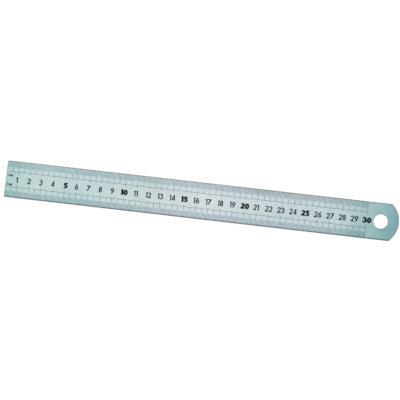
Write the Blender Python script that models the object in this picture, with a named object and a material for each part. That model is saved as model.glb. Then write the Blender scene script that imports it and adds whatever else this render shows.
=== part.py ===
"""A flat steel ruler: one strip of sheet steel with etched millimetre scales along both long edges.

Run it with: blender --background --python part.py
The blade lies on its back. X runs along it from the zero end to the rounded hanging end, Y across it and Z up
through the graduated face. The origin is the middle of the blade's length and width, on its back face.
"""

import math

import bmesh
import bpy

MM = 0.001

# The blade
SCALE_LENGTH = 300 * MM  # the square zero end to the last mark
TAIL_LENGTH = 26.2 * MM  # the last mark to the tip of the rounded end
BLADE_WIDTH = 30 * MM
BLADE_THICKNESS = 1 * MM
END_RADIUS = 20 * MM
HOLE_DIAMETER = 12 * MM
HOLE_FROM_LAST_MARK = 11.4 * MM
EDGE_BREAK = 0.1 * MM  # the chamfer that deburring leaves all round, on both faces and in the hole

# The etched scale, the same along both long edges
MARK_PITCH = 1 * MM
MARKS_PER_FIVE = 5
MARKS_PER_TEN = 10
MARK_WIDTH = 0.25 * MM
MARK_DEPTH = 0.1 * MM
SHORT_MARK = 5.15 * MM  # a millimetre mark, measured in from the blade's edge
RAIL_INSET = 8.75 * MM  # the edge to the middle of the line that ends the five millimetre marks
LONG_MARK = 10.2 * MM  # a ten millimetre mark, measured in from the blade's edge

ARC_STEPS = 24
HOLE_STEPS = 48
CUTTER_MARGIN = 1 * MM  # how far a cutter reaches past the surfaces that it cuts

STEEL_COLOR = (0.48, 0.58, 0.60, 1.0)
ETCH_COLOR = (0.012, 0.016, 0.020, 1.0)

ZERO_X = -(SCALE_LENGTH + TAIL_LENGTH) / 2
LAST_MARK_X = ZERO_X + SCALE_LENGTH
TIP_X = LAST_MARK_X + TAIL_LENGTH
EDGE_Y = BLADE_WIDTH / 2
MARK_COUNT = round(SCALE_LENGTH / MARK_PITCH)


def clear_scene():
    for obj in list(bpy.data.objects):
        bpy.data.objects.remove(obj, do_unlink=True)


def material(name, color, metallic, roughness):
    result = bpy.data.materials.new(name)
    result.use_nodes = True
    shader = result.node_tree.nodes["Principled BSDF"]
    shader.inputs["Base Color"].default_value = color
    shader.inputs["Metallic"].default_value = metallic
    shader.inputs["Roughness"].default_value = roughness
    return result


def add_loft(mesh, sections):
    """Joins sections, each a height and its anticlockwise (x, y) points, into one closed body."""
    loops = [[mesh.verts.new((x, y, height)) for x, y in outline] for height, outline in sections]
    mesh.faces.new(loops[0][::-1])
    mesh.faces.new(loops[-1])
    for lower, upper in zip(loops, loops[1:]):
        for side in range(len(lower)):
            after = (side + 1) % len(lower)
            mesh.faces.new((lower[side], lower[after], upper[after], upper[side]))


def object_from(mesh, name, surface):
    data = bpy.data.meshes.new(name)
    mesh.to_mesh(data)
    mesh.free()
    data.materials.append(surface)
    data.shade_smooth()
    data.set_sharp_from_angle(angle=math.radians(30))
    obj = bpy.data.objects.new(name, data)
    bpy.context.scene.collection.objects.link(obj)
    return obj


def blade_outline(inset):
    """The square zero end, the long edges and the rounded end's arc, all moved in by the inset."""
    side = EDGE_Y - inset
    radius = END_RADIUS - inset
    half_angle = math.asin(side / radius)
    centre_x = TIP_X - END_RADIUS
    angles = [half_angle * (2 * step / ARC_STEPS - 1) for step in range(ARC_STEPS + 1)]
    arc = [(centre_x + radius * math.cos(angle), radius * math.sin(angle)) for angle in angles]
    return [(ZERO_X + inset, side), (ZERO_X + inset, -side), *arc]


def blade():
    mesh = bmesh.new()
    face, edge = blade_outline(EDGE_BREAK), blade_outline(0)
    top = BLADE_THICKNESS
    add_loft(mesh, [(0, face), (EDGE_BREAK, edge), (top - EDGE_BREAK, edge), (top, face)])
    return object_from(mesh, "ruler_blade", material("satin_steel", STEEL_COLOR, 1.0, 0.38))


def circle(radius):
    centre_x = LAST_MARK_X + HOLE_FROM_LAST_MARK
    angles = [math.tau * step / HOLE_STEPS for step in range(HOLE_STEPS)]
    return [(centre_x + radius * math.cos(angle), radius * math.sin(angle)) for angle in angles]


def hole_cutter():
    """The hanging hole with the cones that break its two rims."""
    mesh = bmesh.new()
    hole, top = HOLE_DIAMETER / 2, BLADE_THICKNESS
    cone = circle(hole + EDGE_BREAK + CUTTER_MARGIN)
    bore = circle(hole)
    sections = [(-CUTTER_MARGIN, cone), (EDGE_BREAK, bore), (top - EDGE_BREAK, bore), (top + CUTTER_MARGIN, cone)]
    add_loft(mesh, sections)
    return object_from(mesh, "hole_cutter", bpy.data.materials["satin_steel"])


def mark_outline(mark):
    """One millimetre mark at the -Y edge, as a strip that runs out past the edge."""
    left = ZERO_X + mark * MARK_PITCH - MARK_WIDTH / 2
    right = left + MARK_WIDTH
    outer = -EDGE_Y - CUTTER_MARGIN
    inner = -EDGE_Y + SHORT_MARK
    return [(left, outer), (right, outer), (right, inner), (left, inner)]


def rail_outline():
    """The line that runs along the -Y scale, with the five and ten millimetre marks that hang on it."""
    outer = -EDGE_Y - CUTTER_MARGIN
    inner = -EDGE_Y + LONG_MARK
    near = -EDGE_Y + RAIL_INSET - MARK_WIDTH / 2
    far = near + MARK_WIDTH
    near_side = [(ZERO_X - CUTTER_MARGIN, near)]
    far_side = [(ZERO_X - CUTTER_MARGIN, far)]
    for mark in range(MARKS_PER_FIVE, MARK_COUNT + 1, MARKS_PER_FIVE):
        left = ZERO_X + mark * MARK_PITCH - MARK_WIDTH / 2
        right = left + MARK_WIDTH
        near_side += [(left, near), (left, outer), (right, outer), (right, near)]
        if mark % MARKS_PER_TEN == 0:
            far_side += [(left, far), (left, inner), (right, inner), (right, far)]
    return near_side + far_side[::-1]


def mark_cutter():
    """Both scales as one cutter: the marks along the -Y edge and their mirror image along the +Y edge."""
    mesh = bmesh.new()
    floor, above = BLADE_THICKNESS - MARK_DEPTH, BLADE_THICKNESS + CUTTER_MARGIN
    short_marks = [mark for mark in range(1, MARK_COUNT) if mark % MARKS_PER_FIVE]
    for outline in [rail_outline(), *map(mark_outline, short_marks)]:
        add_loft(mesh, [(floor, outline), (above, outline)])
    cutter = object_from(mesh, "mark_cutter", material("etched_black", ETCH_COLOR, 0.0, 0.6))
    mirror = cutter.modifiers.new("other_edge", "MIRROR")
    mirror.use_axis = (False, True, False)
    mirror.use_mirror_merge = False
    return cutter


def cut(obj, cutter):
    """Takes the cutter's shape out of the object and gives the new faces the cutter's material."""
    cutter.hide_render = True
    cutter.display_type = "WIRE"
    modifier = obj.modifiers.new(cutter.name, "BOOLEAN")
    modifier.operation = "DIFFERENCE"
    modifier.solver = "EXACT"
    modifier.material_mode = "TRANSFER"
    modifier.object = cutter


def main():
    clear_scene()
    ruler = blade()
    cut(ruler, hole_cutter())
    cut(ruler, mark_cutter())


main()
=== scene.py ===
"""The looks of the steel ruler: satin steel, black marks and numerals, a pale floor and soft light."""

import math

import bmesh
import bpy
from mathutils import Matrix, Vector
from mathutils.geometry import delaunay_2d_cdt


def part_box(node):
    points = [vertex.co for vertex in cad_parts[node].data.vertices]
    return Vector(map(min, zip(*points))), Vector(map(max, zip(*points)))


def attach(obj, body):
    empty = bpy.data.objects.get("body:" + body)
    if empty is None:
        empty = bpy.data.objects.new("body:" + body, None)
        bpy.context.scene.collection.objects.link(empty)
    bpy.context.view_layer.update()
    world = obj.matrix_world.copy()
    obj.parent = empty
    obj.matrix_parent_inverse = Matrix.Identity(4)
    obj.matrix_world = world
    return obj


MM = 0.001

# The rounded end, its hole and the etched scale, as they are cut into the blade
END_RADIUS = 20 * MM
HOLE_RADIUS = 6 * MM
HOLE_FROM_TIP = 14.8 * MM
EDGE_BREAK = 0.1 * MM
MARK_PITCH = 1 * MM
MARK_COUNT = 300
MARKS_PER_FIVE = 5
MARKS_PER_TEN = 10
MARK_WIDTH = 0.25 * MM
MARK_DEPTH = 0.1 * MM
SHORT_MARK = 5.15 * MM
RAIL_INSET = 8.75 * MM
LONG_MARK = 10.2 * MM

# The black in the marks
INK_RECESS = 0.01 * MM  # how far it lies below the blade's face
INK_OVERLAP = 0.002 * MM  # how far it reaches into the walls of its groove

# The numerals; a pen's sizes are shares of the numeral's height
NUMERAL_HEIGHT = 4.75 * MM
NUMERAL_DROP = 0.23 * MM  # from the blade's mid-line to the middle of the numerals
NUMERAL_SHIFT = -0.35 * MM  # along the blade, from the centimetre mark to the middle of its numeral
# The same for the numerals that stray from that place in the photograph
STRAY_SHIFTS = {5: 0.45 * MM, 15: -0.15 * MM, 20: -0.05 * MM, 25: -0.2 * MM, 30: 0.35 * MM}
STRAY_SHIFTS |= dict.fromkeys((1, 7, 12, 13, 14, 16, 17, 18, 19), -0.24 * MM)
STRAY_SHIFTS |= dict.fromkeys((26, 27, 28, 29), 0.13 * MM)
BOLD_EVERY = 5
PLAIN_PEN = {"width": 0.63, "upright": 0.19, "level": 0.175, "gap": 0.06}
PLAIN_WIDTHS = {1: 0.33, 2: 0.605, 3: 0.61, 7: 0.61, 8: 0.59}  # of the digits that are narrower
BOLD_PEN = {"width": 0.79, "upright": 0.35, "level": 0.265, "gap": 0.005}
BOLD_WIDTHS = {1: 0.44, 2: 0.74, 3: 0.73, 5: 0.71}
ONE_MARGIN = 0.14  # a number that ends in 1 is centred with this much clear space after it

# The unit labels by the zero end, a light 1 before two heavy letters
LABEL_FEET = (2.25 * MM, -5.25 * MM)  # across the blade
LABEL_ONE_LEFT = 1.2 * MM  # from the zero end
LABEL_ONE_HEIGHT = 2.0 * MM
LABEL_ONE_PEN = {"width": 0.46, "upright": 0.24, "level": 0.2, "gap": 0}
LETTER_LEFT = 2.85 * MM
LETTER_HEIGHT = 1.65 * MM
LETTER_PEN = {"width": 0.86, "upright": 0.24, "level": 0.3, "gap": 0.07}

# How digits and letters are drawn and raised
INK_PROUD = 0.015 * MM  # how far they stand out of the face, and reach into it
ARC_STEP = math.radians(9)
OVERRUN = 0.3  # a slanting stroke runs this far past the digit's height, where it is trimmed level
LAP = 0.03  # how far a straight stroke reaches back into the bow that it leaves
INSIDE_OUTLINES = 1  # the triangulation's mode that keeps what the outlines hold
MERGE_DISTANCE = 1e-5

# The steel's tints from the zero end (0) to the tip (1), which also hold a painted sheen: lightest near the
# middle, with painted shade that darkens towards both ends and most at the tip
STEEL_TINTS_AND_PAINTED_SHEEN = (
    (0.0, (0.42, 0.61, 0.60)),
    (0.09, (0.52, 0.645, 0.64)),
    (0.17, (0.5, 0.635, 0.635)),
    (0.3, (0.525, 0.63, 0.635)),
    (0.5, (0.59, 0.655, 0.68)),
    (0.76, (0.522, 0.622, 0.64)),
    (0.86, (0.475, 0.595, 0.607)),
    (0.93, (0.33, 0.5, 0.513)),
    (1.0, (0.215, 0.39, 0.416)),
)
TINT_SLANT = 0.22  # the tints' borders lean this much along the blade for each step across it
TINT_DRIFT = 0.025  # how far those borders wander, as a share of the blade's length
BAND_TINT = (0.93, 0.99, 1.02)
BAND_SOFTNESS = 0.2 * MM
TINGE = (0.965, 1.0, 1.02)  # how far the steel's hue wanders

# The steel's noises, in cells to the metre along the blade, across it and through it
GRAIN_CELLS = (90, 6000, 6000)
MOTTLE_CELLS = (600, 900, 900)
BLOTCH_CELLS = (150, 280, 280)
TINGE_CELLS = (170, 260, 260)
TINGE_START = (1, 0, 0)  # far enough along that its noise is unlike the others
CLOUD_CELLS = (22, 60, 60)

# The values of a noise between which a shade or a roughness changes
MOST_NOISE = (0.3, 0.7)
GRAIN_NOISE = (0.25, 0.75)
WIDE_NOISE = (0.2, 0.8)
FLECK_NOISE = (0.35, 0.8)
WORN_NOISE = (0.48, 0.72)

# How far each noise lightens and darkens the steel, and what it does to the roughness and the surface
GRAIN_SHADE = 0.08
MOTTLE_SHADE = 0.08
BLOTCH_SHADE = 0.04
GRAIN_ROUGHNESS = (0.27, 0.39)
CLOUD_ROUGHNESS = (-0.02, 0.03)
GRAIN_DEPTH = 0.0008 * MM

# Painted shade: darker, greyer bands along the edges, strongest along the lower edge, each with its width
# and its tint at the edge
LOWER_RIM_SHADE = (1.5 * MM, (0.2, 0.2, 0.2))
UPPER_RIM_SHADE = (0.9 * MM, (0.48, 0.43, 0.4))
ZERO_RIM_SHADE = (1.6 * MM, (0.86, 0.82, 0.82))
ARC_RIM_SHADE = (2.1 * MM, (1.1, 0.8, 0.76))
HOLE_RIM_SHADE = (1.0 * MM, (0.82, 0.8, 0.79))
WALL_SHADE = 0.2  # painted shade on the sheared side walls and the deburred corners
WALL_BORDER = 1.5  # the walls' painted shade fades out by this many chamfers in from the edge

# Patches by the edges: place from the zero end, upper (1) or lower (-1) edge, reach and tint
PATCHES = (
    (216 * MM, 1, (28 * MM, 6 * MM), (0.83, 0.86, 0.86)),
    (240 * MM, 1, (110 * MM, 5 * MM), (0.99, 0.94, 0.9)),
    (65 * MM, -1, (75 * MM, 10 * MM), (0.91, 0.985, 0.985)),
    (30 * MM, 1, (60 * MM, 5 * MM), (1.04, 1.07, 1.06)),
)

# The black's tints, roughness and wear
INK_TINTS = ((0.0, (0.003, 0.0045, 0.005)), (1.0, (0.014, 0.018, 0.019)))
SPECKLE_CELLS = (9000, 9000, 9000)
INK_ROUGHNESS = (0.55, 0.8)
INK_GLOSS = 0.1
WEAR_CELLS = (260, 120, 120)
INK_WEAR = 0.09  # how much paler the black is where it is worn thin in the marks

# The photograph's viewing angle
FOCAL_LENGTH_MM = 298
CAMERA_DISTANCE = 2.699
CAMERA_LEAN = math.radians(9.91)  # away from straight above
CAMERA_BEARING = math.radians(-25.4)  # of that lean, round from the blade's +X
PICTURE_TURN = math.radians(6.49)  # the picture's horizontal against the blade's length
PICTURE_MIDDLE = (-0.43 * MM, 0.585 * MM)  # the point of the blade at the picture's middle
NEAR_CLIP = 10 * MM

# The floor and the light
FLOOR_SIZE = 12
FLOOR_DROP = 0.05 * MM
FLOOR_TONE = (0.9, 0.9, 0.9, 1)
FLOOR_ROUGHNESS = 0.9
FLOOR_LIFT = 0.38  # what brings the floor to white for the camera and in reflections
WHITE = (1, 1, 1, 1)
SKY_STRENGTH = 0.85
LAMP_PLACE = (-0.25, 0.2, 1.6)
LAMP_SIZE = (0.8, 1.2)
LAMP_STRENGTH = 0.35

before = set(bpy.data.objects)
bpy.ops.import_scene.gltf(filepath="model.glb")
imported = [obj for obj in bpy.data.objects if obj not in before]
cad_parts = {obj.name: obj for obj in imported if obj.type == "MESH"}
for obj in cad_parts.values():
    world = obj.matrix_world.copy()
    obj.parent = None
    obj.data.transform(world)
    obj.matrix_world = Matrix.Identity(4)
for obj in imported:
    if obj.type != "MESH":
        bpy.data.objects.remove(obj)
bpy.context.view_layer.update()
LOW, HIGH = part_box("ruler_blade")
ZERO_X = LOW.x
TIP_X = HIGH.x
EDGE_Y = HIGH.y
FACE_Z = HIGH.z
HOLE_X = TIP_X - HOLE_FROM_TIP


def add_camera():
    """Looks at the blade as the photograph does, from a little to one side of straight above."""
    target = Vector((*PICTURE_MIDDLE, FACE_Z))
    away = Vector((math.cos(CAMERA_BEARING), math.sin(CAMERA_BEARING), 0)) * math.sin(CAMERA_LEAN)
    away.z = math.cos(CAMERA_LEAN)
    right = Vector((math.cos(PICTURE_TURN), math.sin(PICTURE_TURN), 0))
    right = (right - away * right.dot(away)).normalized()
    up = away.cross(right)
    turn = Matrix((right, up, away)).transposed().to_4x4()
    data = bpy.data.cameras.new("photo_camera")
    data.lens = FOCAL_LENGTH_MM
    data.clip_start = NEAR_CLIP
    camera = bpy.data.objects.new("photo_camera", data)
    camera.matrix_world = Matrix.Translation(target + away * CAMERA_DISTANCE) @ turn
    bpy.context.scene.collection.objects.link(camera)
    bpy.context.scene.camera = camera


def shader_of(name):
    material = bpy.data.materials.new(name)
    material.use_nodes = True
    return material, material.node_tree, material.node_tree.nodes["Principled BSDF"]


class Graph:
    """Adds shader nodes to a material, each call giving the new node's output."""

    def __init__(self, tree):
        self.tree = tree

    def feed(self, socket, value):
        if isinstance(value, bpy.types.NodeSocket):
            self.tree.links.new(value, socket)
        else:
            socket.default_value = value

    def number(self, operation, *values):
        node = self.tree.nodes.new("ShaderNodeMath")
        node.operation = operation
        for socket, value in zip(node.inputs, values):
            self.feed(socket, value)
        return node.outputs[0]

    def vector(self, operation, *values):
        node = self.tree.nodes.new("ShaderNodeVectorMath")
        node.operation = operation
        for socket, value in zip(node.inputs, values):
            self.feed(socket, value)
        return node.outputs[0]

    def spread(self, value, start, end, smooth=False):
        """Maps the start range onto the end range, held at both ends."""
        node = self.tree.nodes.new("ShaderNodeMapRange")
        node.interpolation_type = "SMOOTHSTEP" if smooth else "LINEAR"
        for socket, given in zip(node.inputs, (value, *start, *end)):
            self.feed(socket, given)
        return node.outputs[0]

    def place(self):
        node = self.tree.nodes.new("ShaderNodeTexCoord")
        return node.outputs["Object"]

    def axes(self, vector):
        node = self.tree.nodes.new("ShaderNodeSeparateXYZ")
        self.feed(node.inputs[0], vector)
        return node.outputs

    def noise(self, vector, cells, detail=2, roughness=0.5):
        node = self.tree.nodes.new("ShaderNodeTexNoise")
        node.inputs["Scale"].default_value = 1
        node.inputs["Detail"].default_value = detail
        node.inputs["Roughness"].default_value = roughness
        self.feed(node.inputs["Vector"], self.vector("MULTIPLY", vector, cells))
        return node.outputs[0]

    def ramp(self, value, stops):
        """Blends the stops' colours, the first stop being at 0 and the last at 1."""
        node = self.tree.nodes.new("ShaderNodeValToRGB")
        node.color_ramp.interpolation = "EASE"
        elements = node.color_ramp.elements
        for position, _ in stops[1:-1]:
            elements.new(position)
        for element, (_, color) in zip(elements, stops):
            element.color = (*color, 1)
        self.feed(node.inputs[0], value)
        return node.outputs[0]

    def distance(self, a, b):
        """The length of a slope that runs a one way and b the other."""
        squares = [self.number("POWER", side, 2) for side in (a, b)]
        return self.number("SQRT", self.number("ADD", *squares))

    def tinted(self, color, factor):
        """The colour times a number."""
        node = self.tree.nodes.new("ShaderNodeVectorMath")
        node.operation = "SCALE"
        self.feed(node.inputs[0], color)
        self.feed(node.inputs["Scale"], factor)
        return node.outputs[0]

    def change(self, tint, amount):
        """White where the amount is 0, and the tint where it is 1."""
        return self.vector("ADD", self.tinted([channel - 1 for channel in tint], amount), (1, 1, 1))


def band_tint(graph, x, y):
    """The bands of millimetre marks are a little bluer than the bare steel."""
    deep = graph.number("SUBTRACT", EDGE_Y, graph.number("ABSOLUTE", y))
    across = graph.spread(deep, (SHORT_MARK - BAND_SOFTNESS, SHORT_MARK + BAND_SOFTNESS), (1, 0))
    along = graph.number("LESS_THAN", x, ZERO_X + MARK_COUNT * MARK_PITCH)
    return graph.change(BAND_TINT, graph.number("MULTIPLY", across, along))


def rim_tint(graph, x, y):
    """Painted shade: darkens the steel near its outer edges and round the hole, and darkens the side walls
    and corners most.
    """
    arc_x = TIP_X - END_RADIUS
    before_arc = graph.number("LESS_THAN", x, arc_x)
    reach = graph.distance(graph.number("SUBTRACT", x, arc_x), y)
    from_arc = graph.number("ADD", graph.number("SUBTRACT", END_RADIUS, reach), before_arc)
    from_hole = graph.distance(graph.number("SUBTRACT", x, HOLE_X), y)
    rims = (
        (graph.number("ADD", y, EDGE_Y), LOWER_RIM_SHADE),
        (graph.number("SUBTRACT", EDGE_Y, y), UPPER_RIM_SHADE),
        (graph.number("SUBTRACT", x, ZERO_X), ZERO_RIM_SHADE),
        (from_arc, ARC_RIM_SHADE),
        (graph.number("SUBTRACT", from_hole, HOLE_RADIUS), HOLE_RIM_SHADE),
    )
    nearest = 1
    tint = (1, 1, 1)
    for distance, (width, edge_shade) in rims:
        nearest = graph.number("MINIMUM", distance, nearest)
        amount = graph.spread(distance, (0, width), (1, 0), smooth=True)
        tint = graph.vector("MULTIPLY", graph.change(edge_shade, amount), tint)
    wall_shade = graph.spread(nearest, (EDGE_BREAK, EDGE_BREAK * WALL_BORDER), (WALL_SHADE, 1))
    return graph.tinted(tint, wall_shade)


def patched(graph, color, x, y):
    """The colour with each patch's tint, which is strongest at the patch's middle."""
    for place, side, reach, tint in PATCHES:
        along = graph.number("DIVIDE", graph.number("SUBTRACT", x, ZERO_X + place), reach[0])
        across = graph.number("DIVIDE", graph.number("SUBTRACT", side * EDGE_Y, y), reach[1])
        amount = graph.spread(graph.distance(along, across), (0, 1), (1, 0), smooth=True)
        color = graph.vector("MULTIPLY", color, graph.change(tint, amount))
    return color


def steel_material():
    material, tree, shader = shader_of("satin_steel")
    graph = Graph(tree)
    place = graph.place()
    x, y, _ = graph.axes(place)
    grain = graph.noise(place, GRAIN_CELLS, detail=5, roughness=0.65)
    mottle = graph.noise(place, MOTTLE_CELLS, detail=3, roughness=0.6)
    blotch = graph.noise(place, BLOTCH_CELLS, detail=3)
    hue = graph.noise(graph.vector("ADD", place, TINGE_START), TINGE_CELLS)
    cloud = graph.noise(place, CLOUD_CELLS)

    slanted = graph.number("MULTIPLY_ADD", y, -TINT_SLANT, x)
    drift = graph.number("MULTIPLY_ADD", cloud, 2 * TINT_DRIFT, -TINT_DRIFT)
    along = graph.number("ADD", graph.spread(slanted, (ZERO_X, TIP_X), (0, 1)), drift)
    fine = graph.spread(grain, GRAIN_NOISE, (1 - GRAIN_SHADE, 1 + GRAIN_SHADE))
    coarse = graph.spread(mottle, MOST_NOISE, (-MOTTLE_SHADE, MOTTLE_SHADE))
    soft = graph.spread(blotch, MOST_NOISE, (-BLOTCH_SHADE, BLOTCH_SHADE))
    shade = graph.number("ADD", graph.number("ADD", fine, coarse), soft)
    # The ramp's tints carry a painted sheen, lightest near the middle of the blade and darker towards the
    # ends
    color = graph.tinted(graph.ramp(along, STEEL_TINTS_AND_PAINTED_SHEEN), shade)
    tinge = graph.change(TINGE, graph.spread(hue, MOST_NOISE, (-1, 1)))
    # The rim tint is painted shade along the edges, round the hole and on the side walls
    for tint in (tinge, rim_tint(graph, x, y), band_tint(graph, x, y)):
        color = graph.vector("MULTIPLY", color, tint)
    tree.links.new(patched(graph, color, x, y), shader.inputs["Base Color"])

    grain_part = graph.spread(grain, WIDE_NOISE, GRAIN_ROUGHNESS)
    cloud_part = graph.spread(cloud, MOST_NOISE, CLOUD_ROUGHNESS)
    tree.links.new(graph.number("ADD", grain_part, cloud_part), shader.inputs["Roughness"])
    shader.inputs["Metallic"].default_value = 1
    bump = tree.nodes.new("ShaderNodeBump")
    bump.inputs["Strength"].default_value = 1
    bump.inputs["Distance"].default_value = GRAIN_DEPTH
    tree.links.new(grain, bump.inputs["Height"])
    tree.links.new(bump.outputs[0], shader.inputs["Normal"])
    return material


def ink_material():
    """A matt black with a fine fleck, which is worn paler here and there in the marks of the scale."""
    material, tree, shader = shader_of("etched_black")
    graph = Graph(tree)
    place = graph.place()
    _, y, _ = graph.axes(place)
    speckle = graph.noise(place, SPECKLE_CELLS)
    black = graph.ramp(graph.spread(speckle, FLECK_NOISE, (0, 1)), INK_TINTS)
    worn = graph.spread(graph.noise(place, WEAR_CELLS), WORN_NOISE, (0, INK_WEAR), smooth=True)
    in_scale = graph.number("GREATER_THAN", graph.number("ABSOLUTE", y), EDGE_Y - LONG_MARK)
    pale = graph.tinted((1, 1, 1), graph.number("MULTIPLY", worn, in_scale))
    tree.links.new(graph.vector("ADD", black, pale), shader.inputs["Base Color"])
    tree.links.new(graph.spread(speckle, WIDE_NOISE, INK_ROUGHNESS), shader.inputs["Roughness"])
    shader.inputs["Specular IOR Level"].default_value = INK_GLOSS
    return material


def link_piece(mesh, name, material):
    data = bpy.data.meshes.new(name)
    mesh.to_mesh(data)
    mesh.free()
    data.materials.append(material)
    obj = bpy.data.objects.new(name, data)
    bpy.context.scene.collection.objects.link(obj)
    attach(obj, "root")


def add_loft(mesh, lower, upper):
    """Joins two sections, each a height and its anticlockwise (x, y) points, into one closed body."""
    loops = [[mesh.verts.new((x, y, height)) for x, y in outline] for height, outline in (lower, upper)]
    mesh.faces.new(loops[0][::-1])
    mesh.faces.new(loops[1])
    for side in range(len(loops[0])):
        after = (side + 1) % len(loops[0])
        mesh.faces.new((loops[0][side], loops[0][after], loops[1][after], loops[1][side]))


def mark_sides(mark):
    """Where the black of a mark begins and ends along the blade."""
    left = ZERO_X + mark * MARK_PITCH - MARK_WIDTH / 2 - INK_OVERLAP
    return left, left + MARK_WIDTH + 2 * INK_OVERLAP


def mark_outline(mark, outer):
    """One millimetre mark at the -Y edge."""
    left, right = mark_sides(mark)
    inner = -EDGE_Y + SHORT_MARK
    return [(left, outer), (right, outer), (right, inner), (left, inner)]


def rail_outline(outer):
    """The line that runs along the -Y scale, with the five and ten millimetre marks that hang on it."""
    inner = -EDGE_Y + LONG_MARK
    near = -EDGE_Y + RAIL_INSET - MARK_WIDTH / 2 - INK_OVERLAP
    far = near + MARK_WIDTH + 2 * INK_OVERLAP
    near_side = [(ZERO_X + EDGE_BREAK, near)]
    far_side = [(ZERO_X + EDGE_BREAK, far)]
    for mark in range(MARKS_PER_FIVE, MARK_COUNT + 1, MARKS_PER_FIVE):
        left, right = mark_sides(mark)
        near_side += [(left, near), (left, outer), (right, outer), (right, near)]
        if mark % MARKS_PER_TEN == 0:
            far_side += [(left, far), (left, inner), (right, inner), (right, far)]
    return near_side + far_side[::-1]


def mirrored(outline):
    return [(x, -y) for x, y in outline[::-1]]


def add_marks(material):
    """Fills the grooves of both scales with black, whose ends slope as the blade's chamfer does."""
    mesh = bmesh.new()
    floor, top = FACE_Z - MARK_DEPTH, FACE_Z - INK_RECESS
    floor_end, top_end = -EDGE_Y, -EDGE_Y + EDGE_BREAK - INK_RECESS
    short_marks = [mark for mark in range(1, MARK_COUNT) if mark % MARKS_PER_FIVE]
    pairs = [(mark_outline(mark, floor_end), mark_outline(mark, top_end)) for mark in short_marks]
    pairs.append((rail_outline(floor_end), rail_outline(top_end)))
    for low, high in pairs:
        add_loft(mesh, (floor, low), (top, high))
        add_loft(mesh, (floor, mirrored(low)), (top, mirrored(high)))
    link_piece(mesh, "scale_marks", material)


class Pen:
    """Draws overlapping anticlockwise outlines, with one thickness for upright strokes and one for level."""

    def __init__(self, width, upright, level, gap):
        self.width = width
        self.upright = upright
        self.level = level
        self.gap = gap  # to the next character

    def bow(self, oval, start=0, end=360):
        """A stretch of an oval (middle x, middle y, reach across, reach up), its angles in degrees."""
        x, y, across, up = oval
        start, end = math.radians(start), math.radians(end)
        steps = math.ceil(abs(end - start) / ARC_STEP)
        turns = [start + (end - start) * step / steps for step in range(steps + 1)]
        outer = [(x + across * math.cos(turn), y + up * math.sin(turn)) for turn in turns]
        across, up = across - self.upright, up - self.level
        inner = [(x + across * math.cos(turn), y + up * math.sin(turn)) for turn in turns]
        return [[*pair, *back[::-1]] for pair, back in zip(zip(outer, outer[1:]), zip(inner, inner[1:]))]

    def slant(self, start, end):
        """A straight stroke along its middle line, run on past its end."""
        length = math.dist(start, end)
        ux, uy = (end[0] - start[0]) / length, (end[1] - start[1]) / length
        half = math.hypot(self.upright * uy, self.level * ux) / 2
        x0, y0 = start[0] - ux * LAP, start[1] - uy * LAP
        x1, y1 = end[0] + ux * OVERRUN, end[1] + uy * OVERRUN
        sx, sy = -uy * half, ux * half
        return [(x0 + sx, y0 + sy), (x0 - sx, y0 - sy), (x1 - sx, y1 - sy), (x1 + sx, y1 + sy)]

    def tangent(self, oval, point):
        """Where a line from the point touches an oval's middle line, as an angle in degrees and a place."""
        x, y, across, up = oval
        across, up = across - self.upright / 2, up - self.level / 2
        px, py = (point[0] - x) / across, (point[1] - y) / up
        turn = math.atan2(py, px) + math.acos(1 / math.hypot(px, py))
        return math.degrees(turn), (x + across * math.cos(turn), y + up * math.sin(turn))


def block(left, right, low, high):
    return [(left, low), (right, low), (right, high), (left, high)]


def bowls(pen):
    """The reach up of the lower and the upper bowl of a 3 or an 8, which share the stroke between them."""
    low = 0.29 + pen.level * 0.1
    return low, (1 + pen.level) / 2 - low


# Each digit is one unit high, and the numbers in it are shares of that height or of the pen's sizes
def zero(pen):
    return pen.bow((pen.width / 2, 0.5, pen.width / 2, 0.5))


def one(pen):
    left = pen.width - pen.upright
    flag = [(left, 1), (0, 0.86), (0, 0.86 - pen.level * 0.8), (left, 1 - pen.level)]
    return [block(left, pen.width, 0, 1), flag]


def two(pen):
    reach = 0.3 + pen.level * 0.06
    oval = (pen.width / 2, 1 - reach, pen.width / 2, reach)
    heel = (pen.upright * 0.62, pen.level * 0.3)
    turn, touch = pen.tangent(oval, heel)
    return [*pen.bow(oval, turn, 174), pen.slant(touch, heel), block(0, pen.width, 0, pen.level)]


def three(pen):
    """Two half bows, each with an arm that leaves it at a tangent. The upper half is turned over."""
    tip = (0, 0.16 + pen.level / 4)
    halves = []
    for reach, up in zip((0.58, 0.53), bowls(pen)):
        oval = (pen.width * 0.42, up, pen.width * reach, up)
        turn, touch = pen.tangent(oval, tip)
        halves.append([*pen.bow(oval, turn, 90), pen.slant(touch, tip)])
    bottom, top = halves
    return bottom + [[(x, 1 - y) for x, y in outline[::-1]] for outline in top]


def four(pen):
    right = pen.width * 0.88
    foot = 0.19
    side = [(0, foot), (pen.upright, foot), (right, 1), (right - pen.upright, 1)]
    stem = block(right - pen.upright * 0.85, right, 0, 1)
    return [stem, block(0, pen.width, foot, foot + pen.level * 0.9), side]


def five(pen):
    low = 0.33 + pen.level * 0.06
    left = pen.width * 0.13
    heel = pen.width * 0.05
    bowl = pen.bow((pen.width * 0.45, low, pen.width * 0.55, low), -155, 128)
    side = [(left, 1), (heel, 0.45), (heel + pen.upright, 0.45), (left + pen.upright, 1)]
    return [*bowl, block(left, pen.width * 0.94, 1 - pen.level, 1), side]


def six(pen):
    low = 0.31 + pen.level * 0.02
    oval = (pen.width / 2, low, pen.width / 2, low)
    tip = (pen.width * 0.66, 1)
    _, touch = pen.tangent(oval, tip)
    return [*pen.bow(oval), pen.slant(touch, tip)]


def seven(pen):
    neck = 1 - pen.level
    side = [(0, 0), (pen.upright, 0), (pen.width, neck), (pen.width - pen.upright * 1.4, neck)]
    return [block(0, pen.width, neck, 1), side]


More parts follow.
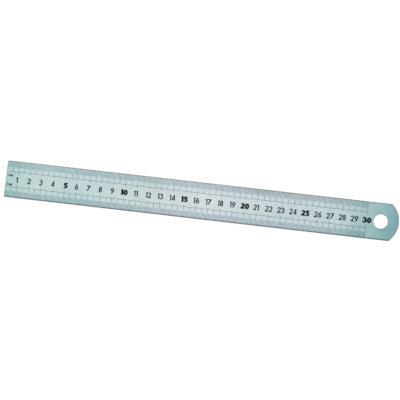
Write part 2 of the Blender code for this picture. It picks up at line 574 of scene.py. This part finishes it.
def eight(pen):
    low, high = bowls(pen)
    top = pen.bow((pen.width / 2, 1 - high, pen.width * 0.45, high))
    return top + pen.bow((pen.width / 2, low, pen.width / 2, low))


def nine(pen):
    """A six, turned half way round."""
    return [[(pen.width - x, 1 - y) for x, y in outline] for outline in six(pen)]


def letter_m(pen):
    reach = (pen.width + pen.upright) / 4
    arches = []
    for middle in (reach, pen.width - reach):
        arches += pen.bow((middle, 0.55, reach, 0.45), 0, 180)
        arches += [block(middle + reach - pen.upright, middle + reach, 0, 0.56)]
    return [block(0, pen.upright, 0, 1), *arches]


DIGITS = (zero, one, two, three, four, five, six, seven, eight, nine)


def add_plate(mesh, outlines, width, corner, height):
    """Merges overlapping outlines, trims them to a box one unit high and raises them into a closed plate."""
    points, faces = [], []
    for outline in [block(0, width, 0, 1), *outlines]:
        faces.append(list(range(len(points), len(points) + len(outline))))
        points += [Vector(point) for point in outline]
    merged = delaunay_2d_cdt(points, [], faces, INSIDE_OUTLINES, MERGE_DISTANCE)
    points, _, triangles, _, _, sources = merged
    kept = [triangle for triangle, source in zip(triangles, sources) if 0 in source and len(source) > 1]
    rings = {}
    for index in sorted({index for triangle in kept for index in triangle}):
        x, y = corner[0] + points[index].x * height, corner[1] + points[index].y * height
        rings[index] = [mesh.verts.new((x, y, FACE_Z + z)) for z in (-INK_PROUD, INK_PROUD)]
    sides = {side for a, b, c in kept for side in ((a, b), (b, c), (c, a))}
    for a, b, c in kept:
        mesh.faces.new((rings[a][1], rings[b][1], rings[c][1]))
        mesh.faces.new((rings[c][0], rings[b][0], rings[a][0]))
    for a, b in sides:
        if (b, a) not in sides:
            mesh.faces.new((rings[a][0], rings[b][0], rings[b][1], rings[a][1]))


def pen_for(digit, sizes, widths):
    pen = Pen(**sizes)
    pen.width = widths.get(digit, pen.width)
    return pen


def add_numeral(mesh, number):
    sizes, widths = (PLAIN_PEN, PLAIN_WIDTHS) if number % BOLD_EVERY else (BOLD_PEN, BOLD_WIDTHS)
    digits = [int(digit) for digit in str(number)]
    pens = [pen_for(digit, sizes, widths) for digit in digits]
    width = sum(pen.width + pen.gap for pen in pens) - pens[-1].gap
    if digits[-1] == 1:
        width += ONE_MARGIN
    shift = STRAY_SHIFTS.get(number, NUMERAL_SHIFT)
    left = ZERO_X + number * MARKS_PER_TEN * MARK_PITCH + shift - width / 2 * NUMERAL_HEIGHT
    foot = -NUMERAL_DROP - NUMERAL_HEIGHT / 2
    for digit, pen in zip(digits, pens):
        add_plate(mesh, DIGITS[digit](pen), pen.width, (left, foot), NUMERAL_HEIGHT)
        left += (pen.width + pen.gap) * NUMERAL_HEIGHT


def add_numerals(material):
    """The centimetres, every fifth of them bold."""
    numbers = range(1, MARK_COUNT // MARKS_PER_TEN + 1)
    plain = [number for number in numbers if number % BOLD_EVERY]
    bold = [number for number in numbers if number % BOLD_EVERY == 0]
    for name, group in (("numerals", plain), ("bold_numerals", bold)):
        mesh = bmesh.new()
        for number in group:
            add_numeral(mesh, number)
        link_piece(mesh, name, material)


def add_labels(material):
    """The unit of each edge's marks, 1 mm, by the zero end."""
    mesh = bmesh.new()
    one_pen, letter_pen = Pen(**LABEL_ONE_PEN), Pen(**LETTER_PEN)
    for foot in LABEL_FEET:
        add_plate(mesh, one(one_pen), one_pen.width, (ZERO_X + LABEL_ONE_LEFT, foot), LABEL_ONE_HEIGHT)
        left = ZERO_X + LETTER_LEFT
        for _ in range(2):
            add_plate(mesh, letter_m(letter_pen), letter_pen.width, (left, foot), LETTER_HEIGHT)
            left += (letter_pen.width + letter_pen.gap) * LETTER_HEIGHT
    link_piece(mesh, "unit_labels", material)


def add_floor():
    bpy.ops.mesh.primitive_plane_add(size=FLOOR_SIZE, location=(0, 0, -FLOOR_DROP))
    floor = bpy.context.object
    floor.name = "floor"
    material, tree, shader = shader_of("pale_floor")
    shader.inputs["Base Color"].default_value = FLOOR_TONE
    shader.inputs["Roughness"].default_value = FLOOR_ROUGHNESS
    shader.inputs["Specular IOR Level"].default_value = 0
    shader.inputs["Emission Color"].default_value = WHITE
    path = tree.nodes.new("ShaderNodeLightPath")
    graph = Graph(tree)
    seen = path.outputs["Is Camera Ray"]
    for ray in ("Is Glossy Ray", "Is Transmission Ray"):
        seen = graph.number("MAXIMUM", seen, path.outputs[ray])
    tree.links.new(graph.number("MULTIPLY", seen, FLOOR_LIFT), shader.inputs["Emission Strength"])
    floor.data.materials.append(material)


def add_light():
    world = bpy.data.worlds.new("soft_daylight")
    world.use_nodes = True
    bpy.context.scene.world = world
    background = world.node_tree.nodes["Background"]
    background.inputs["Color"].default_value = WHITE
    background.inputs["Strength"].default_value = SKY_STRENGTH
    data = bpy.data.lights.new("softbox", "AREA")
    data.shape = "RECTANGLE"
    data.size, data.size_y = LAMP_SIZE
    data.energy = LAMP_STRENGTH * math.pi * data.size * data.size_y
    lamp = bpy.data.objects.new("softbox", data)
    lamp.location = LAMP_PLACE
    bpy.context.scene.collection.objects.link(lamp)


bpy.context.scene.view_settings.view_transform = "Standard"
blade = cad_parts["ruler_blade"]
blade.data.materials.clear()
blade.data.materials.append(steel_material())
ink = ink_material()
add_camera()
add_marks(ink)
add_numerals(ink)
add_labels(ink)
add_floor()
add_light()
